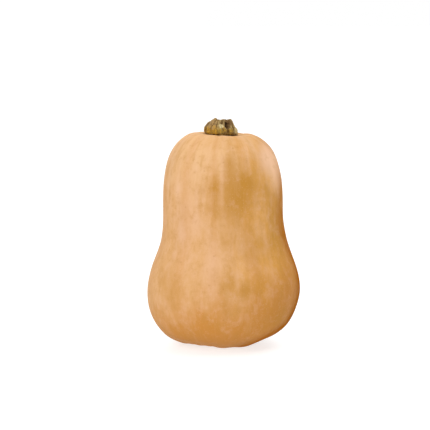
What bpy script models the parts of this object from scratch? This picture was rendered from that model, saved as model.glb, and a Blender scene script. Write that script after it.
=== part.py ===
# A butternut squash standing on its blossom end: the fruit, grown in one piece, and the woody stem
# that it hung from, which sits in a shallow basin at the top.
#
# The frame is in metres, +Z up. The origin is on the ground, under the middle of the outline, and
# the front of the squash faces -Y. The outlines below are in millimetres, because a fruit is
# measured that way.

import bpy
import numpy as np
from mathutils import Matrix, Vector
from mathutils.geometry import interpolate_bezier

MM = 0.001

# Driving dimensions, in millimetres.
BULB_RADIUS = 63.9
NECK_RADIUS = 50.3
SHOULDER_HEIGHT = 176.5
SEAT_HEIGHT = 175.4
STEM_RADIUS = 14.4
STEM_HEIGHT = 13.4
SEAT_GAP = 0.3
SCAR_RADIUS = 4.5

# The fruit's outline as (height, radius), from the middle of the stem's seat, over the shoulder,
# down the neck and the bulb, and under to the blossom scar.
FRUIT_OUTLINE = (
    (SEAT_HEIGHT, 0.0),
    (SEAT_HEIGHT, 8.0),
    (SEAT_HEIGHT + 0.1, 14.0),
    (SHOULDER_HEIGHT, 20.0),
    (SHOULDER_HEIGHT - 0.9, 26.5),
    (172.3, 33.3),
    (167.4, 38.7),
    (161.0, 43.0),
    (152.0, 46.5),
    (140.0, 49.0),
    (125.0, NECK_RADIUS - 0.3),
    (108.0, NECK_RADIUS),
    (94.0, 51.2),
    (82.0, 54.0),
    (70.0, 58.4),
    (57.0, 62.8),
    (44.0, BULB_RADIUS),
    (31.0, 62.2),
    (20.0, 57.6),
    (12.0, 50.6),
    (6.0, 42.8),
    (2.2, 36.0),
    (0.0, 30.0),
    (-0.7, 25.0),
    (0.6, 18.0),
    (3.2, 11.0),
    (4.7, 6.5),
    (4.9, SCAR_RADIUS),
    (4.1, SCAR_RADIUS - 1.2),
    (4.0, 0.0),
)

# How far the middle of the fruit drifts towards +X at each height: it didn't grow quite straight.
FRUIT_DRIFT = (
    (0.0, -4.3),
    (6.0, -3.7),
    (14.0, -1.9),
    (30.0, -0.7),
    (45.0, 0.1),
    (65.0, 0.6),
    (85.0, 0.7),
    (105.0, -0.1),
    (140.0, -0.5),
    (160.0, -0.8),
    (178.0, -1.3),
)

FRUIT_DEPTH = 0.975  # front to back, as a share of the width
SEAT_SLOPE = -0.05  # the stem's seat is lower on the +X side
# The slope fades out over the shoulder, as (radius, slope), and starts at this height.
TOP_SLOPES = (
    (0.0, SEAT_SLOPE),
    (17.0, SEAT_SLOPE),
    (21.0, -0.04),
    (26.5, -0.018),
    (32.0, -0.009),
    (40.0, 0.0),
)
TOP_SLOPE_FROM = 158.0

# The ribs run from the stem to the scar. Each has its own angle, counted from +X, and its own crest,
# pressed in by a share of the furrow depth. The furrow after each rib has its own share too.
# Furrows are deepest at the two ends, as (height, depth).
FRUIT_RIBS_DEG = (27, 63, 101, 139, 177, 214, 250, 273, 312, 349)
FRUIT_CRESTS = (0.0, 0.1, 0.0, 0.2, 0.0, 0.7, 0.5, 0.0, -0.1, 0.0)
FRUIT_FURROWS = (1.0, 0.8, 1.0, 0.8, 0.9, 0.9, 0.6, 0.5, 1.0, 0.8)
FURROW_DEPTH = (
    (0.0, 2.2),
    (5.0, 2.0),
    (14.0, 1.1),
    (35.0, 0.7),
    (85.0, 0.45),
    (140.0, 0.5),
    (165.0, 0.8),
    (174.0, 1.2),
    (180.0, 1.0),
)
# The ribs fade in between these radii, which leaves the seat flat and the scar round.
SEAT_BLEND = (13.0, 20.0)
SCAR_BLEND = (5.0, 15.0)

# The stem's outline, above its seat: a swollen foot, a waist and a dried, hollow top.
STEM_OUTLINE = (
    (STEM_HEIGHT - 2.2, 0.0),
    (STEM_HEIGHT - 2.0, 2.6),
    (STEM_HEIGHT - 0.7, 5.0),
    (STEM_HEIGHT, 7.2),
    (STEM_HEIGHT - 0.8, 8.6),
    (10.2, 9.6),
    (7.6, 11.2),
    (5.2, 13.2),
    (3.2, STEM_RADIUS),
    (1.4, STEM_RADIUS - 0.4),
    (0.3, STEM_RADIUS - 1.8),
    (0.0, STEM_RADIUS - 3.4),
    (0.0, 0.0),
)
STEM_PLACE_X = -1.7
STEM_RIBS_DEG = (13, 50, 88, 132, 180, 213, 243, 272, 307, 337)
STEM_CRESTS = (0.5, 0.2, 0.0, -0.2, -0.35, -0.2, 0.0, 0.2, 0.0, 0.4)
STEM_FURROWS = (0.9, 0.8, 1.0, 1.1, 0.8, 0.9, 0.6, 1.6, 0.7, 0.8)
STEM_FURROW_DEPTH = ((0.0, 1.0), (2.0, 1.5), (8.0, 1.9), (14.0, 1.7))
STEM_CORE_RADIUS = 4.0  # inside this the top is dry pith with no ribs
STEM_UNDERSIDE = 0.2  # below this it is flat, with no ribs

GROUND_BLOCK = 200.0  # the side of the block that cuts the feet level

OUTLINE_STEPS = 2
FRUIT_SEGMENTS = 72
STEM_SEGMENTS = 48

SKIN_COLOUR = (0.69, 0.37, 0.15)
STEM_COLOUR = (0.33, 0.22, 0.075)


def smooth(points, steps):
    """Points on a smooth curve through the given ones, with this many steps between each two."""
    through = [Vector((p[0], p[1], 0.0)) for p in points]
    padded = [2 * through[0] - through[1], *through, 2 * through[-1] - through[-2]]
    curve = []
    for before, start, end, after in zip(padded, padded[1:], padded[2:], padded[3:]):
        reach = (end - start).length / 3
        leave = start + reach * (end - before).normalized()
        arrive = end - reach * (after - start).normalized()
        curve += interpolate_bezier(start, leave, arrive, end, steps + 1)[:-1]
    curve.append(through[-1])
    return np.array([(p.x, p.y) for p in curve])


def smooth_step(value, low, high):
    share = np.clip((value - low) / (high - low), 0.0, 1.0)
    return share * share * (3 - 2 * share)


def turned(name, outline, segments, collection):
    """A round blank in millimetres, turned from an outline of (height, radius)."""
    profile = bpy.data.meshes.new(name)
    points = [(max(radius, 0.0), 0.0, height) for height, radius in outline]
    profile.from_pydata(points, [(i, i + 1) for i in range(len(points) - 1)], [])
    blank = bpy.data.objects.new(name, profile)
    collection.objects.link(blank)
    screw = blank.modifiers.new("turn", "SCREW")
    screw.axis = "Z"
    screw.steps = screw.render_steps = segments
    screw.use_merge_vertices = True
    screw.merge_threshold = 0.0001
    bpy.context.view_layer.update()
    evaluated = blank.evaluated_get(bpy.context.evaluated_depsgraph_get())
    blank.data = bpy.data.meshes.new_from_object(evaluated)
    blank.modifiers.clear()
    bpy.data.meshes.remove(profile)
    return blank


def rib_shares(angles_deg, ribs_deg, crests, furrows):
    """How much of the furrow depth each angle is pressed in by: waves from crest to crest."""
    count = len(ribs_deg)
    around = [ribs_deg[-1] - 360, *ribs_deg, ribs_deg[0] + 360]
    place = np.interp(angles_deg, around, np.arange(-1, count + 1))
    rib = np.floor(place).astype(int)
    wave = (1 - np.cos(np.pi * (place - rib))) / 2
    crest, next_crest = np.array(crests)[rib % count], np.array(crests)[(rib + 1) % count]
    furrow = np.array(furrows)[rib % count]
    return crest + (next_crest - crest) * wave + furrow * (1 - np.cos(2 * np.pi * place)) / 2


def coordinates(mesh):
    flat = np.empty(len(mesh.vertices) * 3)
    mesh.vertices.foreach_get("co", flat)
    return flat.reshape(-1, 3)


def press_furrows(mesh, depth, ribs_deg, crests, furrows):
    """Moves each vertex inwards along its normal, by the depth there times its rib's share."""
    points = coordinates(mesh)
    normals = np.array([v.normal for v in mesh.vertices])
    angles = np.degrees(np.arctan2(points[:, 1], points[:, 0])) % 360
    pressed = depth * rib_shares(angles, ribs_deg, crests, furrows)
    mesh.vertices.foreach_set("co", (points - normals * pressed[:, None]).ravel())
    mesh.update()


def lean_fruit(mesh):
    """Draws the round blank off its axis, flattens it a little and slopes its top."""
    points = coordinates(mesh)
    radii = np.hypot(points[:, 0], points[:, 1])
    points[:, 1] *= FRUIT_DEPTH
    heights = points[:, 2].copy()
    slope_radii, slopes = np.array(TOP_SLOPES).T
    slope = np.interp(radii, slope_radii, slopes) * smooth_step(heights, TOP_SLOPE_FROM, SEAT_HEIGHT)
    points[:, 2] += slope * points[:, 0]
    drift = smooth(FRUIT_DRIFT, 4)
    points[:, 0] += np.interp(heights, drift[:, 0], drift[:, 1])
    mesh.vertices.foreach_set("co", points.ravel())
    mesh.update()


def ground_cutter(collection):
    """A block whose top is the ground, to give the fruit the flat feet that it stands on."""
    bpy.ops.mesh.primitive_cube_add(size=GROUND_BLOCK * MM, location=(0, 0, -GROUND_BLOCK / 2 * MM))
    cutter = bpy.context.object
    cutter.name = "ground_cutter"
    for owner in cutter.users_collection:
        owner.objects.unlink(cutter)
    collection.objects.link(cutter)
    cutter.hide_render = True
    cutter.display_type = "WIRE"
    return cutter


def make_fruit(collection, cutters):
    blank = turned("fruit", smooth(FRUIT_OUTLINE, OUTLINE_STEPS), FRUIT_SEGMENTS, collection)
    points = coordinates(blank.data)
    radii = np.hypot(points[:, 0], points[:, 1])
    heights, depths = np.array(FURROW_DEPTH).T
    on_top = points[:, 2] > SEAT_HEIGHT / 2
    blend = np.where(on_top, smooth_step(radii, *SEAT_BLEND), smooth_step(radii, *SCAR_BLEND))
    depth = np.interp(points[:, 2], heights, depths) * blend
    press_furrows(blank.data, depth, FRUIT_RIBS_DEG, FRUIT_CRESTS, FRUIT_FURROWS)
    lean_fruit(blank.data)
    blank.data.transform(Matrix.Scale(MM, 4))
    feet = blank.modifiers.new("feet", "BOOLEAN")
    feet.operation = "DIFFERENCE"
    feet.solver = "EXACT"
    feet.object = ground_cutter(cutters)
    return blank


def make_stem(collection):
    blank = turned("stem", smooth(STEM_OUTLINE, OUTLINE_STEPS), STEM_SEGMENTS, collection)
    points = coordinates(blank.data)
    radii = np.hypot(points[:, 0], points[:, 1])
    heights, depths = np.array(STEM_FURROW_DEPTH).T
    outside_core = smooth_step(radii, STEM_CORE_RADIUS, 2 * STEM_CORE_RADIUS)
    underside = points[:, 2] < STEM_UNDERSIDE
    depth = np.interp(points[:, 2], heights, depths) * np.where(underside, 0.0, outside_core)
    press_furrows(blank.data, depth, STEM_RIBS_DEG, STEM_CRESTS, STEM_FURROWS)
    blank.data.transform(Matrix.Scale(MM, 4))
    blank.location = Vector((STEM_PLACE_X, 0.0, SEAT_HEIGHT + SEAT_GAP)) * MM
    blank.rotation_euler.y = -np.arctan(SEAT_SLOPE)
    return blank


def material(name, colour, roughness):
    made = bpy.data.materials.new(name)
    made.use_nodes = True
    shader = made.node_tree.nodes["Principled BSDF"]
    shader.inputs["Base Color"].default_value = (*colour, 1.0)
    shader.inputs["Roughness"].default_value = roughness
    shader.inputs["Metallic"].default_value = 0.0
    made.diffuse_color = (*colour, 1.0)
    return made


def finish(obj, finish_material):
    obj.data.materials.clear()
    obj.data.materials.append(finish_material)
    obj.data.shade_smooth()


def stand_over_origin(objects, fruit):
    """Slides everything level until the fruit's outline is centred on the origin."""
    bpy.context.view_layer.update()
    points = coordinates(fruit.data)
    middle = (points.min(axis=0) + points.max(axis=0)) / 2
    for obj in objects:
        obj.location.x -= middle[0]
        obj.location.y -= middle[1]


def main():
    for obj in list(bpy.data.objects):
        bpy.data.objects.remove(obj)
    squash = bpy.data.collections.new("butternut_squash")
    cutters = bpy.data.collections.new("cutters")
    for collection in (squash, cutters):
        bpy.context.scene.collection.children.link(collection)
    fruit = make_fruit(squash, cutters)
    stem = make_stem(squash)
    finish(fruit, material("squash_skin", SKIN_COLOUR, 0.5))
    finish(stem, material("dry_stem", STEM_COLOUR, 0.85))
    stand_over_origin((fruit, stem), fruit)


main()
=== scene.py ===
import math
from types import SimpleNamespace

import bmesh
import bpy
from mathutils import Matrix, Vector


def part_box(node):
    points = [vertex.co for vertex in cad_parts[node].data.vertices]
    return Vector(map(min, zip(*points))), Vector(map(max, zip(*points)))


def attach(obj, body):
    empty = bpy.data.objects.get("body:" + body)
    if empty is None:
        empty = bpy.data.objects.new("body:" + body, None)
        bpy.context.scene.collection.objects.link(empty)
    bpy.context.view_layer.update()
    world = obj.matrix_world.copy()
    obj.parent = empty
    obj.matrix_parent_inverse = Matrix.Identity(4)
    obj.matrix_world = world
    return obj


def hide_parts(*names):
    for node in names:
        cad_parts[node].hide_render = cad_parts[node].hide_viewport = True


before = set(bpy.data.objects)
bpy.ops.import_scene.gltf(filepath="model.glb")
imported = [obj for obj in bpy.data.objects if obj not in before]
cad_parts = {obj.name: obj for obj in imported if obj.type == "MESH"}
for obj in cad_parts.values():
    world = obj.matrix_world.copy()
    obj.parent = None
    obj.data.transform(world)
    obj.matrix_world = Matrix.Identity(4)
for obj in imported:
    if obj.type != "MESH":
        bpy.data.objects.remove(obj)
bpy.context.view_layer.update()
scene = bpy.context.scene
mm = 0.001
ribColumns = 4  # a crest, a flank, a furrow and another flank
furrowTones = (0, 0.35, 1, 0.35)  # how deep in a furrow each of those is, for the materials
seatLean = -2.9  # degrees: the stem's seat slopes down towards +X
print("frame loaded:", sorted(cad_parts))


def openEdit(piece):
    bpy.ops.object.select_all(action="DESELECT")
    piece.select_set(True)
    bpy.context.view_layer.objects.active = piece
    bpy.ops.object.mode_set(mode="EDIT")
    bpy.ops.mesh.select_mode(type="VERT")


def closeEdit():
    bpy.ops.object.mode_set(mode="OBJECT")


# every piece is a stack of rings, and each of its points knows its ring and its column
def pick(piece, rings=None, columns=None, place=None):
    mesh = bmesh.from_edit_mesh(piece.data)
    ring = mesh.verts.layers.int["ring"]
    column = mesh.verts.layers.int["column"]
    for point in mesh.verts:
        wanted = rings is None or point[ring] in rings
        wanted = wanted and (columns is None or point[column] in columns)
        wanted = wanted and (place is None or place(point.co))
        point.select_set(wanted)
    mesh.select_flush_mode()
    bmesh.update_edit_mesh(piece.data)


def markRing(piece, number):  # the points just extruded are the ones selected
    mesh = bmesh.from_edit_mesh(piece.data)
    ring = mesh.verts.layers.int["ring"]
    for point in mesh.verts:
        if point.select:
            point[ring] = number


def ringMiddle(ring):
    height, _, drift, _, _ = ring
    return (drift * mm, 0, height * mm)


def cageRings(rings, rounds=8):  # a subdivided cage shrinks, so it starts wider and ends on these rings
    cage = [list(row) for row in rings]
    for _ in range(rounds):
        settled = [list(row) for row in cage]
        for i in range(1, len(cage) - 1):
            for k in range(len(cage[i])):
                smooth = (settled[i - 1][k] + 4 * settled[i][k] + settled[i + 1][k]) / 6
                cage[i][k] += rings[i][k] - smooth
    return cage


def columnAngles(ribs, flank):
    angles = []
    for rib, nextRib in zip(ribs, ribs[1:] + [ribs[0] + 360]):
        for share in (0, flank, 0.5, 1 - flank):
            angles.append(rib + (nextRib - rib) * share)
    return angles


def firstRing(name, radius, angles):  # a circle whose points slide round to their own ribs and furrows
    count = len(angles)
    widen = 6 / (4 + 2 * math.cos(2 * math.pi / count))  # a ring shrinks too when it is subdivided
    bpy.ops.object.select_all(action="DESELECT")
    bpy.ops.mesh.primitive_circle_add(vertices=count, radius=radius * widen * mm)
    piece = bpy.context.object
    piece.name = piece.data.name = name
    openEdit(piece)
    mesh = bmesh.from_edit_mesh(piece.data)
    mesh.verts.layers.int.new("ring")
    column = mesh.verts.layers.int.new("column")
    furrow = mesh.verts.layers.float.new("furrow")
    around = sorted(mesh.verts, key=lambda point: math.atan2(point.co.y, point.co.x) % (2 * math.pi))
    for number, point in enumerate(around):
        point[column] = number
        point[furrow] = furrowTones[number % ribColumns]
    for number, angle in enumerate(angles):
        pick(piece, columns=[number])
        mesh = bmesh.from_edit_mesh(piece.data)
        here = next(point.co.copy() for point in mesh.verts if point.select)
        turn = math.radians(angle)
        there = Vector((math.cos(turn), math.sin(turn), 0)) * radius * widen * mm
        bpy.ops.transform.translate(value=there - here)
    return piece


def stackRings(name, rings, angles):  # rings are (height, radius, drift in X, lean, twist) in mm and degrees
    piece = firstRing(name, rings[0][1], angles)
    bpy.ops.mesh.select_all(action="SELECT")
    bpy.ops.transform.translate(value=ringMiddle(rings[0]))
    for number in range(1, len(rings)):
        lastHeight, lastRadius, lastDrift, _, lastTwist = rings[number - 1]
        height, radius, drift, _, twist = rings[number]
        step = Vector((drift - lastDrift, 0, height - lastHeight)) * mm
        bpy.ops.mesh.extrude_region_move(TRANSFORM_OT_translate={"value": step})
        grow = radius / lastRadius
        middle = ringMiddle(rings[number])
        bpy.ops.transform.resize(value=(grow, grow, 1), center_override=middle)
        turn = math.radians(lastTwist - twist)  # with no window, rotate turns the other way
        bpy.ops.transform.rotate(value=turn, orient_axis="Z", center_override=middle)
        markRing(piece, number)
    for number, (_, _, _, lean, _) in enumerate(rings):
        pick(piece, rings=[number])
        middle = ringMiddle(rings[number])
        bpy.ops.transform.rotate(value=math.radians(lean), orient_axis="Y", center_override=middle)
    for end in (0, len(rings) - 1):
        pick(piece, rings=[end])
        bpy.ops.mesh.edge_face_add()
    bpy.ops.mesh.select_all(action="SELECT")
    bpy.ops.mesh.normals_make_consistent(inside=False)
    return piece


def crestColumns(shape, rib):  # the crest of a rib, with the flank on each side of it
    count = ribColumns * len(shape["ribs"])
    return [(rib * ribColumns + side) % count for side in (-1, 0, 1)]


def furrowColumn(rib):  # the furrow between a rib and the next
    return rib * ribColumns + 2


def pressFurrow(piece, shape, rib):  # its flanks go in less than its bottom
    furrow = furrowColumn(rib)
    for start, end, depth in shape["furrowDepth"]:
        for columns, share in (([furrow], 1), ([furrow - 1, furrow + 1], shape["flankShare"])):
            pick(piece, rings=range(start, end), columns=columns)
            press = -depth * shape["furrowShare"][rib] * share * mm
            bpy.ops.transform.shrink_fatten(value=press)


def applyModifier(piece, kind, **settings):
    made = piece.modifiers.new(kind.lower(), kind)
    for key, value in settings.items():
        setattr(made, key, value)
    bpy.ops.object.modifier_apply(modifier=made.name)


def roughen(piece, name, size, detail, strength):  # pushes the surface in and out by clouds, in mm
    clouds = bpy.data.textures.new(name, "CLOUDS")
    clouds.noise_scale = size * mm
    clouds.noise_depth = detail
    applyModifier(piece, "DISPLACE", texture=clouds, strength=strength * mm, mid_level=0.5)


fruitShape = {
    "ribs": [27, 63, 101, 139, 177, 214, 250, 273, 312, 349],  # degrees round from +X
    "furrowShare": [1.0, 0.8, 1.0, 0.8, 0.9, 0.9, 0.6, 0.5, 1.0, 0.8],  # how deep the furrow after each is
    "flank": 0.27,  # where a flank lies, as a share of the way to the next rib
    "flankShare": 0.42,  # how far the flanks follow a furrow in
    "thickness": 0.975,  # front to back, as a share of the width
    # height, radius, drift in X, lean, twist: from the stem's seat over the shoulder to the scar
    "rings": [
        (175.5, 2.5, -1.4, seatLean, 0),
        (175.5, 8.0, -1.4, seatLean, 0),
        (175.6, 13.0, -1.4, seatLean, 0),
        (176.0, 17.0, -1.3, seatLean, 0),
        (176.6, 21.0, -1.2, -2.3, 0),
        (176.1, 26.5, -1.1, -1.0, 0),
        (173.1, 32.2, -1.1, -0.5, 0),
        (168.4, 37.7, -1.0, -0.2, 0),
        (162.0, 42.4, -0.9, 0, 0),
        (154.0, 45.8, -0.8, 0, 0),
        (145.0, 48.1, -0.6, 0, 0),
        (135.0, 49.5, -0.4, 0, 0),
        (122.0, 50.1, -0.3, 0, 0),
        (108.0, 50.3, -0.1, 0, 0),
        (96.0, 51.4, 0.3, 0, 0),
        (86.0, 53.4, 0.6, 0, 0),
        (76.0, 56.8, 0.7, 0, 0),
        (66.0, 60.5, 0.7, 0, 0),
        (55.0, 63.3, 0.7, 0, 0),
        (44.0, 64.2, 0.3, 0, 0),
        (33.0, 62.6, -0.5, 0, 0),
        (23.0, 59.1, -1.1, 0, 1),
        (15.0, 54.2, -1.6, 0, 3),
        (8.6, 47.5, -2.7, 0, 5),
        (4.2, 40.3, -4.0, 0, 6),
        (1.2, 34.0, -4.2, 0, 6),
        (-0.5, 28.6, -4.3, 0, 6),
        (-0.6, 24.0, -4.3, 0, 6),
        (0.9, 17.6, -4.3, 0, 6),
        (3.2, 11.2, -4.3, 0, 6),
        (4.6, 7.2, -4.3, 0, 6),
        (4.9, 5.0, -4.3, 0, 6),
        (4.2, 3.6, -4.3, 0, 6),
        (4.0, 1.6, -4.3, 0, 6),
    ],
    # ring from, ring to, depth in mm: how far the furrows are pressed in, from top to bottom
    "furrowDepth": [
        (3, 8, 0.45),
        (4, 6, 0.4),
        (8, 15, 0.3),
        (7, 29, 0.35),
        (22, 29, 0.4),
        (24, 29, 0.55),
        (25, 28, 0.7),
    ],
    # ribs that stop short of the ground, with how far they are raised, in mm
    "raisedRibs": {5: 2.1, 6: 1.8, 7: 0.5, 3: 0.4, 1: 0.2},
    "raisedRings": (24, 30),
    "levels": 3,
    "dents": {"size": 34, "detail": 1, "strength": 0.9},
}


def makeFruit():
    shape = fruitShape
    angles = columnAngles(shape["ribs"], shape["flank"])
    fruit = stackRings("squashFruit", cageRings(shape["rings"]), angles)
    for rib in range(len(shape["ribs"])):
        pressFurrow(fruit, shape, rib)
    for rib, lift in shape["raisedRibs"].items():
        pick(fruit, rings=range(*shape["raisedRings"]), columns=crestColumns(shape, rib))
        bpy.ops.transform.translate(value=(0, 0, lift * mm))
    bpy.ops.mesh.select_all(action="SELECT")
    bpy.ops.transform.resize(value=(1, shape["thickness"], 1), center_override=(0, 0, 0))
    closeEdit()
    applyModifier(fruit, "SUBSURF", levels=shape["levels"], render_levels=shape["levels"])
    roughen(fruit, "broadDents", **shape["dents"])
    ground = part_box("fruit")[0].z
    openEdit(fruit)
    pick(fruit, place=lambda co: co.z < ground)  # the lobes that it stands on flatten under its weight
    bpy.ops.transform.resize(value=(1, 1, 0), center_override=(0, 0, ground))
    closeEdit()
    bpy.ops.object.shade_smooth()
    return fruit


stemShape = {
    "ribs": [8, 42, 76, 110, 146, 181, 214, 245, 269, 287, 309, 337],
    "sway": [6, -8, 7, 12, -6, 8, 18, 2, -9, 2, 21, 12],  # degrees that each rib has turned by its top
    "furrowShare": [0.9, 0.8, 1.0, 0.7, 1.1, 0.6, 0.8, 0.7, 0.6, 1.6, 0.6, 0.8],
    "ribTone": [0.5, 0.6, 0.8, 0.3, 0.5, 0.7, 1.0, 0.8, 0.4, 0.6, 0.4, 0.6],  # olive to mustard at its foot
    "rimLift": [-0.7, 0.1, -0.6, -0.8, -0.3, -0.7, 0.7, 0.1, 0.0, 0.1, 0.3, 0.2],  # in mm
    "swell": [0.3, 0, 0.3, 0, 0.4, 0, 0.3, 0, 0.5, 0, 0.3, 1.0],  # how far its shoulder stands out, in mm
    "flank": 0.3,
    "flankShare": 0.3,
    "foot": (-1.6, 0.3),  # where its axis meets the seat, in X, and how far above the seat it starts
    # height, radius, drift in X, lean, twist: the foot, the waist, the torn rim and the hollow top
    "rings": [
        (0.0, 3.0, 0.0, seatLean, 0),
        (0.0, 9.0, 0.0, seatLean, 0),
        (0.1, 12.4, 0.0, seatLean, 0),
        (0.6, 14.0, 0.0, seatLean, 0),
        (2.1, 14.4, -0.1, seatLean, 0),
        (4.2, 13.9, -0.4, seatLean, 0),
        (6.0, 13.1, -0.8, seatLean, 0),
        (7.6, 12.0, -1.0, seatLean, 0),
        (9.2, 10.9, -0.8, seatLean, 0),
        (10.6, 10.0, -0.4, seatLean, 0),
        (11.8, 9.2, 0.0, seatLean, 0),
        (12.6, 8.7, 0.2, seatLean, 0),
        (12.9, 7.6, 0.3, -2.5, 0),
        (12.1, 6.3, 0.3, -2, 0),
        (10.8, 5.0, 0.3, -1, 0),
        (10.0, 3.2, 0.3, 0, 0),
        (9.8, 1.4, 0.3, 0, 0),
    ],
    "furrowDepth": [
        (2, 13, 0.9),
        (4, 13, 0.5),
        (7, 13, 0.5),
    ],
    "swellRings": (5, 10),
    "rimRings": (10, 14),
    "crumpleRings": (4, 16),
    "swayRings": (4, 11),  # the ribs lean over from the first of these to the last, and stay there above
    # the deep split at the front right widens towards the top: ring from, ring to, depth in mm
    "split": (7, 14, 1.3),
    "splitFloor": 0.8,  # the bottom of the split goes this share deeper
    "crumple": 1.0,  # how far the points of the cage stray, in mm
    "crumpleSeed": 8,
    "levels": 3,
    # a bump on its front, in mm: the points in its radius are pushed out, and their neighbours follow
    "knob": {"place": (-1.9, -11.9, 183.8), "radius": 1.6, "push": (0, -0.9, 0.2), "reach": 2.5},
    "knobs": {"size": 6, "detail": 1, "strength": 2.2},
    "bark": {"size": 2, "detail": 3, "strength": 0.8},
    "seatReach": 0.05,  # what comes this close to the seat, in mm, is lifted off it
    "seatLift": 0.2,
    "hollows": {"passes": 40, "reach": 0.7},
}


def markHollows(piece, passes, reach):  # 0.5 on the level, 1 in a hollow reach deep, 0 on a crest as high
    bpy.ops.object.select_all(action="DESELECT")
    piece.select_set(True)
    bpy.ops.object.duplicate()
    levelled = bpy.context.object
    applyModifier(levelled, "SMOOTH", factor=0.5, iterations=passes)
    mask = piece.data.attributes.new("hollow", "FLOAT", "POINT")
    for point, level in zip(piece.data.vertices, levelled.data.vertices):
        depth = (level.co - point.co).dot(point.normal)
        mask.data[point.index].value = min(max(0.5 + 0.5 * depth / (reach * mm), 0), 1)
    bpy.ops.object.delete()
    bpy.context.view_layer.objects.active = piece
    piece.select_set(True)


def ribTheStem(stem, shape):
    for rib in range(len(shape["ribs"])):
        pressFurrow(stem, shape, rib)
        pick(stem, rings=range(*shape["swellRings"]), columns=crestColumns(shape, rib))
        bpy.ops.transform.shrink_fatten(value=shape["swell"][rib] * mm)
        pick(stem, rings=range(*shape["rimRings"]), columns=crestColumns(shape, rib))
        bpy.ops.transform.translate(value=(0, 0, shape["rimLift"][rib] * mm))
    deepest = max(range(len(shape["ribs"])), key=lambda rib: shape["furrowShare"][rib])
    floor = furrowColumn(deepest)
    start, end, depth = shape["split"]
    for columns, share in (((floor - 1, floor, floor + 1), 1), ((floor,), shape["splitFloor"])):
        pick(stem, rings=range(start, end), columns=columns)
        bpy.ops.transform.shrink_fatten(value=-depth * share * mm)


def swayTheRibs(stem, shape, rings):
    sways = shape["sway"] + shape["sway"][:1]
    start, end = shape["swayRings"]
    for rib in range(len(shape["ribs"])):  # a furrow turns half with each of its two ribs
        half = (sways[rib] + sways[rib + 1]) / 2
        for columns, sway in ((crestColumns(shape, rib), sways[rib]), ([furrowColumn(rib)], half)):
            for number in range(start + 1, len(rings)):
                pick(stem, rings=[number], columns=columns)
                turn = -math.radians(sway) * min((number - start) / (end - start), 1)
                middle = ringMiddle(rings[number])
                bpy.ops.transform.rotate(value=turn, orient_axis="Z", center_override=middle)


def pushOutKnob(stem, place, radius, push, reach):
    centre = Vector(place) * mm
    openEdit(stem)
    pick(stem, place=lambda co: (co - centre).length < radius * mm)
    bpy.ops.transform.translate(
        value=[part * mm for part in push],
        use_proportional_edit=True,
        proportional_edit_falloff="SMOOTH",
        proportional_size=reach * mm,
    )
    closeEdit()


def liftOffSeat(stem, shape, seat):  # its underside stays clear of the sloping seat
    across = shape["foot"][0] * mm
    slope = math.tan(math.radians(seatLean))
    near = shape["seatReach"] * mm
    openEdit(stem)
    pick(stem, place=lambda co: co.z < seat + slope * (co.x - across) + near)
    bpy.ops.transform.translate(value=(0, 0, shape["seatLift"] * mm))
    closeEdit()


def makeStem():
    shape = stemShape
    angles = columnAngles(shape["ribs"], shape["flank"])
    across, gap = shape["foot"]
    base = fruitShape["rings"][0][0] + gap
    rings = []
    for height, radius, drift, lean, twist in cageRings(shape["rings"]):
        rings.append((height + base, radius, drift + across, lean, twist))
    stem = stackRings("squashStem", rings, angles)
    mesh = bmesh.from_edit_mesh(stem.data)
    column = mesh.verts.layers.int["column"]
    tone = mesh.verts.layers.float.new("tone")
    for point in mesh.verts:
        rib = (point[column] + 1) // ribColumns % len(shape["ribs"])
        point[tone] = shape["ribTone"][rib]
    ribTheStem(stem, shape)
    swayTheRibs(stem, shape, rings)
    pick(stem, rings=range(*shape["crumpleRings"]))
    crumple, seed = shape["crumple"] * mm, shape["crumpleSeed"]
    bpy.ops.transform.vertex_random(offset=crumple, uniform=0, normal=0, seed=seed)
    closeEdit()
    applyModifier(stem, "SUBSURF", levels=shape["levels"], render_levels=shape["levels"])
    pushOutKnob(stem, **shape["knob"])
    roughen(stem, "stemKnobs", **shape["knobs"])
    roughen(stem, "dryBark", **shape["bark"])
    liftOffSeat(stem, shape, base * mm)
    markHollows(stem, **shape["hollows"])
    bpy.ops.object.shade_smooth()
    return stem


def feed(tree, socket, value):
    if isinstance(value, bpy.types.NodeSocket):
        tree.links.new(value, socket)
    else:
        socket.default_value = value


def addNode(tree, kind, inputs, **settings):
    made = tree.nodes.new("ShaderNode" + kind)
    for key, value in settings.items():
        setattr(made, key, value)
    for key, value in inputs.items():
        feed(tree, made.inputs[key], value)
    return made


def calc(tree, operation, *values):
    return addNode(tree, "Math", dict(enumerate(values)), operation=operation).outputs[0]


def vectorCalc(tree, operation, *values):
    return addNode(tree, "VectorMath", dict(enumerate(values)), operation=operation).outputs[0]


def fade(tree, value, low, high, start=0.0, end=1.0):  # start below low, end above high, smooth between
    inputs = {"Value": value, "From Min": low, "From Max": high, "To Min": start, "To Max": end}
    return addNode(tree, "MapRange", inputs, interpolation_type="SMOOTHSTEP").outputs["Result"]


def noise(tree, vector, scale, detail=2.0, roughness=0.5):
    inputs = {"Vector": vector, "Scale": scale, "Detail": detail, "Roughness": roughness}
    return addNode(tree, "TexNoise", inputs).outputs["Fac"]


def opaque(colour):
    return colour if isinstance(colour, bpy.types.NodeSocket) else (*colour, 1)


def paint(tree, under, over, amount):  # lays one colour over another
    inputs = {0: amount, 6: opaque(under), 7: opaque(over)}  # 6 and 7 are where a Mix node takes colours
    return addNode(tree, "Mix", inputs, data_type="RGBA").outputs[2]


def spot(tree, coords, centre, size, stray):  # 0 in the middle of a soft oval, 1 at its ragged edge
    offset = vectorCalc(tree, "SUBTRACT", coords, centre)
    share = vectorCalc(tree, "DIVIDE", offset, size)
    out = addNode(tree, "VectorMath", {0: share}, operation="LENGTH").outputs["Value"]
    return calc(tree, "ADD", out, stray)


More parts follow.
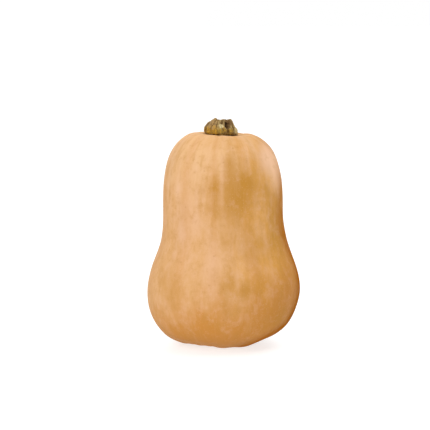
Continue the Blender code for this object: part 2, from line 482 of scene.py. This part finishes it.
def awayFromAxis(tree, x, y):  # the way a point of the piece faces, seen from above
    flat = addNode(tree, "CombineXYZ", {0: x, 1: y}).outputs[0]
    return vectorCalc(tree, "NORMALIZE", flat)


def lengthwise(tree, coords, centre, stretch):  # runs round a piece evenly, and is drawn out along it
    x, y, z = addNode(tree, "SeparateXYZ", {0: vectorCalc(tree, "SUBTRACT", coords, centre)}).outputs
    along = addNode(tree, "CombineXYZ", {2: calc(tree, "MULTIPLY", z, stretch)}).outputs[0]
    return vectorCalc(tree, "ADD", awayFromAxis(tree, x, y), along)


def drawnOut(tree, coords, shift, stretch, *grain):
    return noise(tree, lengthwise(tree, coords, (0, 0, shift), stretch), *grain)


def attribute(tree, name):
    return addNode(tree, "Attribute", {}, attribute_name=name).outputs["Fac"]


def newMaterial(name):
    made = bpy.data.materials.new(name)
    made.use_nodes = True
    return made, made.node_tree, made.node_tree.nodes["Principled BSDF"]


def giveRelief(tree, shader, height, strength, distance):
    bump = addNode(tree, "Bump", {"Height": height, "Strength": strength, "Distance": distance})
    feed(tree, shader.inputs["Normal"], bump.outputs[0])


skinLook = {
    "tan": (0.55, 0.305, 0.13),
    "peach": (0.61, 0.375, 0.19),
    "gold": (0.575, 0.285, 0.065),
    "deep": (0.465, 0.20, 0.042),
    "ochre": (0.40, 0.18, 0.02),
    "olive": (0.41, 0.20, 0.045),
    "bloom": (0.64, 0.395, 0.255),
    # a pale wax colour, also laid on at the wax places as a painted highlight
    "wax": (0.82, 0.53, 0.34),
    # a deep orange that is partly painted shade, on the +X side and low on the right
    "deepOrangeAndShade": (0.32, 0.10, 0.008),
    "freckle": (0.30, 0.135, 0.035),
    "scar": (0.17, 0.095, 0.045),
    "neckPatch": ((0.013, -0.048, 0.138), (0.021, 0.03, 0.030)),
    "blotches": [  # centre, size, how strong
        ((0.0052, -0.044, 0.155), (0.0065, 0.03, 0.014), 0.6),
        ((0.0195, -0.046, 0.142), (0.007, 0.03, 0.011), 0.45),
        ((-0.0065, -0.048, 0.135), (0.007, 0.02, 0.011), 0.7),
        ((0.010, -0.050, 0.124), (0.014, 0.03, 0.012), 0.35),
        ((0.0055, -0.060, 0.060), (0.009, 0.03, 0.014), 0.5),
        ((0.0175, -0.059, 0.053), (0.009, 0.03, 0.012), 0.75),
        # on the neck's right edge: partly the skin's own ochre, partly painted shade
        ((0.043, -0.026, 0.102), (0.009, 0.03, 0.030), 0.5),
        ((0.012, -0.05, 0.095), (0.022, 0.03, 0.020), 0.25),
        ((-0.007, -0.048, 0.118), (0.008, 0.03, 0.008), 0.4),
        ((0.030, -0.045, 0.085), (0.012, 0.03, 0.014), 0.35),
        ((0.0, -0.03, 0.172), (0.03, 0.02, 0.010), 0.25),
        ((0.029, -0.058, 0.056), (0.006, 0.03, 0.012), 0.4),
        ((-0.043, -0.045, 0.053), (0.012, 0.03, 0.02), 0.3),
        ((0.044, -0.04, 0.022), (0.020, 0.04, 0.016), 0.4),
        ((0.02, 0.05, 0.13), (0.02, 0.03, 0.03), 0.6),
        ((-0.03, 0.05, 0.06), (0.02, 0.04, 0.03), 0.45),
    ],
    # pale bloom that is also painted light: lighter on the left, along the front ridge and on the right
    # shoulder
    "paleBloomAndLight": [
        ((0.036, -0.03, 0.158), (0.013, 0.03, 0.018), 0.7),
        ((-0.032, -0.040, 0.100), (0.012, 0.03, 0.045), 0.3),
        ((-0.0014, -0.049, 0.150), (0.0022, 0.02, 0.035), 0.25),
        ((-0.037, -0.033, 0.135), (0.004, 0.03, 0.012), 0.35),
        ((-0.034, -0.042, 0.096), (0.004, 0.03, 0.014), 0.4),
        ((-0.022, -0.045, 0.104), (0.007, 0.03, 0.012), 0.3),
        ((-0.009, -0.055, 0.075), (0.010, 0.03, 0.03), 0.35),
    ],
    "waxAndSheenPlaces": [  # it also stands in for light that the studio doesn't give there
        ((0.0435, -0.017, 0.152), (0.012, 0.020, 0.020), 0.75),
    ],
    "scarPlace": ((-0.0043, 0.0, 0.004), (0.0062, 0.0062, 0.006)),
    "collarPlace": ((-0.0016, 0, 0.1755), (0.0165, 0.0165, 0.006)),
    # patterns drawn out along the fruit: shift, stretch, scale, detail, roughness
    "clouds": (0.4, 9.0, 1.9, 4, 0.6),
    "patches": (0.9, 9.0, 8.5, 5, 0.62),
    "streaks": (0.3, 1.6, 22, 4, 0.6),
    "borders": (0.0, 6.0, 2.6, 5, 0.6),
    "dulled": (0.0, 6.0, 5, 4, 0.5),
    # patterns that are even all over: scale, detail, roughness
    "broad": (22, 3, 0.5),
    "mottle": (150, 6, 0.7),
    "grain": (900, 3, 0.5),
    "freckleScale": 260,
    "poreScale": 620,
    "roughness": (0.52, 0.64),
    "corkRoughness": (0.9, 0.9, 0.9),
    "shine": 0.05,
    "relief": {"strength": 0.35, "distance": 0.0004},
}


def skinPatterns(tree, look):  # what the layers of the skin are drawn with
    on = SimpleNamespace()
    on.coords = addNode(tree, "TexCoord", {}).outputs["Object"]
    on.x, on.y, on.z = addNode(tree, "SeparateXYZ", {0: on.coords}).outputs
    on.ragged = fade(tree, drawnOut(tree, on.coords, *look["borders"]), 0.2, 0.8, -0.02, 0.02)
    on.high = calc(tree, "ADD", on.z, on.ragged)
    on.lowRight = calc(tree, "MULTIPLY_ADD", on.x, -0.45, on.high)
    on.broad = noise(tree, on.coords, *look["broad"])
    on.wander = calc(tree, "MULTIPLY", calc(tree, "SUBTRACT", on.broad, 0.5), 1.4)
    on.clouds = drawnOut(tree, on.coords, *look["clouds"])
    on.patches = drawnOut(tree, on.coords, *look["patches"])
    on.mottle = noise(tree, on.coords, *look["mottle"])
    on.streak = drawnOut(tree, on.coords, *look["streaks"])
    pores = {"Vector": on.coords, "Scale": look["poreScale"]}
    on.pores = addNode(tree, "TexVoronoi", pores).outputs["Distance"]
    return on


# pale at the top and to the left, deeper to the right and below, with a ragged border: partly the skin's own
# colour, partly painted light and shade
def skinGround(tree, look, on):
    colour = paint(tree, look["tan"], look["peach"], fade(tree, on.high, 0.115, 0.165, 0, 0.75))
    right = calc(tree, "ADD", on.x, on.ragged)
    colour = paint(tree, colour, look["gold"], fade(tree, right, 0.005, 0.045, 0, 0.9))
    return paint(tree, colour, look["deep"], fade(tree, on.lowRight, 0.075, 0.015))


# broad clouds, then smaller patches drawn out along the fruit, with less wax low on the right
def skinWeather(tree, look, colour, on):
    colour = paint(tree, colour, look["olive"], fade(tree, on.clouds, 0.50, 0.70, 0, 0.4))
    waxLeft = fade(tree, on.lowRight, 0.0, 0.06, 0.25, 1.0)
    elsewhere = vectorCalc(tree, "ADD", lengthwise(tree, on.coords, (0, 0, 0), 6.0), (1.3, 5.3, 2.9))
    bloomed = fade(tree, noise(tree, elsewhere, 3.0, 5, 0.65), 0.48, 0.75, 0, 0.35)
    colour = paint(tree, colour, look["bloom"], calc(tree, "MULTIPLY", bloomed, waxLeft))
    waxed = fade(tree, on.patches, 0.48, 0.70, 0, 0.24)
    colour = paint(tree, colour, look["bloom"], calc(tree, "MULTIPLY", waxed, waxLeft))
    colour = paint(tree, colour, look["olive"], fade(tree, on.patches, 0.50, 0.32, 0, 0.3))
    # painted shade: a deeper orange down in the furrows
    return paint(tree, colour, look["deep"], fade(tree, attribute(tree, "furrow"), 0.3, 1.0, 0, 0.2))


# a darker ochre patch on the right of the front ridge, and smaller marks elsewhere: ochre blotches, pale
# bands that are partly painted light, and wax places that are partly a painted highlight
def skinMarks(tree, look, colour, on):
    patch = spot(tree, on.coords, *look["neckPatch"], on.wander)
    ridge = calc(tree, "MULTIPLY_ADD", on.wander, 0.006, on.x)
    beyondRidge = fade(tree, ridge, -0.003, 0.001, 0.2, 1.0)
    ochrePatch = calc(tree, "MULTIPLY", fade(tree, patch, 0.1, 1.3, 0.8, 0), beyondRidge)
    colour = paint(tree, colour, look["ochre"], ochrePatch)
    layers = (("ochre", "blotches", 1.3), ("bloom", "paleBloomAndLight", 1.2), ("wax", "waxAndSheenPlaces", 1.6))
    for tint, marks, edge in layers:
        for centre, size, amount in look[marks]:
            mark = spot(tree, on.coords, centre, size, on.wander)
            colour = paint(tree, colour, look[tint], fade(tree, mark, 0.2, edge, amount, 0))
    return colour


# mottling, fine streaks, freckles and pale pores
def skinFlecks(tree, look, colour, on):
    colour = paint(tree, colour, look["olive"], fade(tree, on.mottle, 0.5, 0.72, 0, 0.35))
    colour = paint(tree, colour, look["bloom"], fade(tree, on.mottle, 0.5, 0.3, 0, 0.22))
    colour = paint(tree, colour, look["bloom"], fade(tree, on.streak, 0.52, 0.75, 0, 0.07))
    colour = paint(tree, colour, look["deep"], fade(tree, on.streak, 0.47, 0.25, 0, 0.07))
    cells = addNode(tree, "TexVoronoi", {"Vector": on.coords, "Scale": look["freckleScale"]})
    few = fade(tree, addNode(tree, "SeparateColor", {0: cells.outputs["Color"]}).outputs[0], 0.8, 1.0)
    freckle = calc(tree, "MULTIPLY", fade(tree, cells.outputs["Distance"], 0.05, 0.3, 0.28, 0), few)
    colour = paint(tree, colour, look["freckle"], freckle)
    return paint(tree, colour, look["bloom"], fade(tree, on.pores, 0.08, 0.22, 0.3, 0))


# how deep an orange the skin has ripened to: most on the +X side and low on the right,
# where it also stands in for shade that the studio doesn't give
def orangeSideAndShade(tree, on):
    uneven = fade(tree, on.broad, 0.3, 0.7, -0.03, 0.03)
    outward = awayFromAxis(tree, on.x, on.y)
    facing = calc(tree, "ADD", addNode(tree, "SeparateXYZ", {0: outward}).outputs[0], uneven)
    upper = fade(tree, calc(tree, "ADD", on.z, uneven), 0.180, 0.100)
    side = calc(tree, "MULTIPLY", fade(tree, facing, 0.865, 0.985, 0, 0.95), upper)
    underRight = calc(tree, "MULTIPLY_ADD", on.x, -0.5, on.z)
    return calc(tree, "MAXIMUM", side, fade(tree, underRight, 0.001, -0.009, 0, 0.95))


# the underside and the +X side are a deeper, mottled orange, partly the skin's own colour and partly painted
# shade
def skinOrangeAndShade(tree, look, colour, on, orangeAndShadeMask):
    colour = paint(tree, colour, look["deep"], fade(tree, on.high, 0.035, 0.005, 0, 0.45))
    orangeAndShadeColour = paint(tree, look["deepOrangeAndShade"], look["deep"], fade(tree, on.clouds, 0.42, 0.62, 0, 0.4))
    orangeAndShadeColour = paint(tree, orangeAndShadeColour, look["gold"], fade(tree, on.mottle, 0.45, 0.3, 0, 0.3))
    orangeAndShadeColour = paint(tree, orangeAndShadeColour, look["bloom"], fade(tree, on.patches, 0.46, 0.70, 0, 0.12))
    return paint(tree, colour, orangeAndShadeColour, orangeAndShadeMask)


def skinRelief(tree, look, on):
    pitted = calc(tree, "MULTIPLY", fade(tree, on.pores, 0.05, 0.25), 0.3)
    grainy = calc(tree, "MULTIPLY_ADD", noise(tree, on.coords, *look["grain"]), 0.35, pitted)
    return calc(tree, "MULTIPLY_ADD", on.streak, 0.6, grainy)


def skinMaterial():
    look = skinLook
    made, tree, shader = newMaterial("squashSkin")
    on = skinPatterns(tree, look)
    orangeAndShadeMask = orangeSideAndShade(tree, on)
    colour = skinGround(tree, look, on)
    colour = skinWeather(tree, look, colour, on)
    colour = skinMarks(tree, look, colour, on)
    colour = skinFlecks(tree, look, colour, on)
    colour = skinOrangeAndShade(tree, look, colour, on, orangeAndShadeMask)

    # the corky scar of the blossom underneath, and a darker ring where the stem grows out
    scar = spot(tree, on.coords, *look["scarPlace"], calc(tree, "MULTIPLY", on.wander, 0.5))
    corky = fade(tree, scar, 0.75, 1.1, 1, 0)
    colour = paint(tree, colour, look["scar"], corky)
    collar = spot(tree, on.coords, *look["collarPlace"], calc(tree, "MULTIPLY", on.wander, 0.3))
    colour = paint(tree, colour, look["ochre"], fade(tree, collar, 0.85, 1.15, 0.6, 0))
    feed(tree, shader.inputs["Base Color"], colour)

    dull = fade(tree, drawnOut(tree, on.coords, *look["dulled"]), 0.3, 0.7, *look["roughness"])
    feed(tree, shader.inputs["Roughness"], paint(tree, dull, look["corkRoughness"], corky))
    feed(tree, shader.inputs["Specular IOR Level"], fade(tree, orangeAndShadeMask, 0.0, 0.8, look["shine"], 0.0))
    giveRelief(tree, shader, skinRelief(tree, look, on), **look["relief"])
    return made


stemLook = {
    "paleKhaki": (0.60, 0.50, 0.26),
    "khaki": (0.30, 0.205, 0.075),
    "tan": (0.31, 0.185, 0.065),
    "mustard": (0.42, 0.22, 0.014),
    "olive": (0.25, 0.155, 0.02),
    "umber": (0.105, 0.055, 0.012),
    "creviceShade": (0.04, 0.018, 0.006),
    "rust": (0.15, 0.075, 0.022),
    "splitPlace": ((0.0042, -0.008, 0.186), (0.003, 0.008, 0.006)),
    "palePlace": ((0.012, -0.006, 0.180), (0.0035, 0.012, 0.006)),
    "knobPlace": ((-0.0017, -0.0119, 0.1834), (0.0024, 0.006, 0.0018)),
    "axisFoot": (-0.0016, 0, 0.176),
    "footToRim": (0.1755, 0.189),
    "stretch": 14.0,
    # patterns: scale, detail, roughness, the first three along the fibres
    "streaks": (7, 5, 0.65),
    "darkFibres": (12, 5, 0.7),
    "ridges": (30, 4, 0.7),
    "blotch": (300, 4, 0.6),
    "crumbs": (620, 4, 0.65),
    "grain": (1400, 3, 0.5),
    "roughness": (0.7, 0.92),
    "shine": 0.3,
    "relief": {"strength": 0.8, "distance": 0.0006},
}


def stemPatterns(tree, look):  # what the layers of the stem are drawn with
    on = SimpleNamespace()
    on.coords = addNode(tree, "TexCoord", {}).outputs["Object"]
    x, _, z = addNode(tree, "SeparateXYZ", {0: on.coords}).outputs
    on.x = x
    on.hollow = attribute(tree, "hollow")
    on.fibres = lengthwise(tree, on.coords, look["axisFoot"], look["stretch"])
    on.blotch = noise(tree, on.coords, *look["blotch"])
    elsewhere = vectorCalc(tree, "ADD", on.coords, (0.3, 0.7, 0.1))
    on.crumbs = noise(tree, elsewhere, *look["crumbs"])
    on.stray = fade(tree, on.crumbs, 0.3, 0.7, -0.3, 0.3)
    ragged = fade(tree, on.blotch, 0.3, 0.7, -0.2, 0.2)
    on.height = calc(tree, "ADD", fade(tree, z, *look["footToRim"]), ragged)
    return on


# the foot keeps green and mustard where the top has dried to khaki and tan
def stemGround(tree, look, on):
    streaks = fade(tree, noise(tree, on.fibres, *look["streaks"]), 0.3, 0.7, -0.35, 0.35)
    mixed = calc(tree, "ADD", attribute(tree, "tone"), streaks)
    foot = paint(tree, look["olive"], look["mustard"], fade(tree, mixed, 0.2, 0.95))
    dried = paint(tree, look["khaki"], look["tan"], fade(tree, mixed, 0.3, 0.9))
    colour = paint(tree, foot, dried, fade(tree, on.height, 0.25, 0.7))
    darkFibres = fade(tree, noise(tree, on.fibres, *look["darkFibres"]), 0.5, 0.66, 0, 0.8)
    colour = paint(tree, colour, look["umber"], darkFibres)
    # painted shade: umber low on the foot where it meets the fruit, more towards +X
    right = fade(tree, on.x, -0.010, 0.004, 0.2, 0.8)
    under = calc(tree, "MULTIPLY", fade(tree, on.height, 0.18, 0.0), right)
    return paint(tree, colour, look["umber"], under)


# crests catch dust and a painted highlight, furrows and hollows get painted shade, and the deep split is
# reddish
def stemWear(tree, look, colour, on):
    # pale khaki on the crests: partly dust, partly a painted highlight
    crumbly = fade(tree, on.crumbs, 0.42, 0.6, 0.1, 0.9)
    dustAndHighlight = calc(tree, "MULTIPLY", fade(tree, on.hollow, 0.47, 0.2), crumbly)
    colour = paint(tree, colour, look["paleKhaki"], dustAndHighlight)
    pale = spot(tree, on.coords, *look["palePlace"], on.stray)
    colour = paint(tree, colour, look["paleKhaki"], fade(tree, pale, 0.5, 1.1, 0.6, 0))
    # painted shade down the furrows, stronger towards the top
    grooves = fade(tree, attribute(tree, "furrow"), 0.3, 0.8)
    grooved = calc(tree, "MULTIPLY", grooves, fade(tree, on.height, 0.1, 0.5, 0.3, 0.9))
    colour = paint(tree, colour, look["umber"], grooved)
    # painted shade in the hollows, stronger towards the top
    shaded = fade(tree, on.height, 0.1, 0.5, 0.45, 0.95)
    sunk = calc(tree, "MULTIPLY", fade(tree, on.hollow, 0.49, 0.6), shaded)
    colour = paint(tree, colour, look["umber"], sunk)
    # the knob is pale khaki, partly a painted highlight
    knob = spot(tree, on.coords, *look["knobPlace"], on.stray)
    colour = paint(tree, colour, look["paleKhaki"], fade(tree, knob, 0.5, 1.1, 0.75, 0))
    # painted shade, near black, in the deepest hollows
    colour = paint(tree, colour, look["creviceShade"], fade(tree, on.hollow, 0.58, 0.76, 0, 0.9))
    split = spot(tree, on.coords, *look["splitPlace"], fade(tree, on.blotch, 0.3, 0.7, -0.3, 0.3))
    colour = paint(tree, colour, look["rust"], fade(tree, split, 0.6, 1.1, 0.8, 0))
    return paint(tree, colour, look["umber"], fade(tree, on.crumbs, 0.54, 0.66, 0, 0.65))


def stemMaterial():
    look = stemLook
    made, tree, shader = newMaterial("dryStem")
    on = stemPatterns(tree, look)
    colour = stemGround(tree, look, on)
    colour = stemWear(tree, look, colour, on)
    feed(tree, shader.inputs["Base Color"], colour)
    feed(tree, shader.inputs["Roughness"], fade(tree, on.blotch, 0.3, 0.7, *look["roughness"]))
    feed(tree, shader.inputs["Specular IOR Level"], look["shine"])
    fine = calc(tree, "MULTIPLY", noise(tree, on.coords, *look["grain"]), 0.4)
    height = calc(tree, "MULTIPLY_ADD", noise(tree, on.fibres, *look["ridges"]), 0.7, fine)
    giveRelief(tree, shader, height, **look["relief"])
    return made


studio = {
    "lens": 150,
    "sensor": 36,
    "distance": 1.5,
    "elevation": 6.5,
    "aim": (-0.0069, 0.0, 0.1082),
    "floorSize": 60.0,
    "floorColour": (0.32, 0.32, 0.32, 1),
    "floorRoughness": 0.45,
    "floorGlow": 0.72,  # it gives off light of its own, so that it looks white
    "room": 0.5,  # even light from all round
    "roomLean": (-0.65, 0.5, 0.35),  # more of it comes from the left, from behind and from above
    "roomLeast": 0.03,  # the darkest side still gives a little
    "lights": [  # name, place, width in metres, power in watts
        ("keyLeft", (-1.4, -1.5, 1.5), 1.2, 16),
        ("frontFill", (0.3, -2.3, 0.8), 1.0, 26),
        ("overhead", (0.7, 0.2, 1.7), 1.4, 20),
    ],
    "lightsAim": (0, 0, 0.1),
}


def makeCamera():
    tilt = math.radians(studio["elevation"])
    away = Vector((0, -math.cos(tilt), math.sin(tilt))) * studio["distance"]
    bpy.ops.object.camera_add(location=Vector(studio["aim"]) + away, rotation=(math.pi / 2 - tilt, 0, 0))
    camera = bpy.context.object
    camera.data.lens = studio["lens"]
    camera.data.sensor_width = studio["sensor"]
    scene.camera = camera


def makeFloor():
    bpy.ops.object.select_all(action="DESELECT")
    bpy.ops.mesh.primitive_plane_add(size=studio["floorSize"])
    floor = bpy.context.object
    floor.name = "floor"
    paleFloor, tree, shader = newMaterial("paleFloor")
    feed(tree, shader.inputs["Base Color"], studio["floorColour"])
    feed(tree, shader.inputs["Roughness"], studio["floorRoughness"])
    feed(tree, shader.inputs["Emission Color"], (1, 1, 1, 1))
    feed(tree, shader.inputs["Emission Strength"], studio["floorGlow"])
    floor.data.materials.append(paleFloor)


def makeRoom():
    world = bpy.data.worlds.new("softRoom")
    scene.world = world
    world.use_nodes = True
    tree = world.node_tree
    direction = addNode(tree, "TexCoord", {}).outputs["Generated"]
    inputs = {0: direction, 1: studio["roomLean"]}
    lean = addNode(tree, "VectorMath", inputs, operation="DOT_PRODUCT").outputs["Value"]
    strength = calc(tree, "MAXIMUM", calc(tree, "ADD", lean, studio["room"]), studio["roomLeast"])
    seen = addNode(tree, "LightPath", {}).outputs["Is Camera Ray"]  # beyond the floor it looks white
    background = tree.nodes["Background"]
    feed(tree, background.inputs["Color"], (1, 1, 1, 1))
    feed(tree, background.inputs["Strength"], calc(tree, "MAXIMUM", strength, seen))


def makeLights():
    aim = Vector(studio["lightsAim"])
    for name, place, width, power in studio["lights"]:
        bpy.ops.object.light_add(type="AREA", location=place)
        light = bpy.context.object
        light.name = name
        light.rotation_euler = (aim - Vector(place)).to_track_quat("-Z", "Y").to_euler()
        light.data.size = width
        light.data.energy = power


makeCamera()
makeFloor()
makeRoom()
makeLights()
scene.view_settings.view_transform = "Standard"
print("studio ready")
fruit = makeFruit()
fruit.data.materials.append(skinMaterial())
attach(fruit, "root")
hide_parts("fruit")
print("fruit ready")
stem = makeStem()
stem.data.materials.append(stemMaterial())
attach(stem, "root")
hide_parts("stem")
print("stem ready")
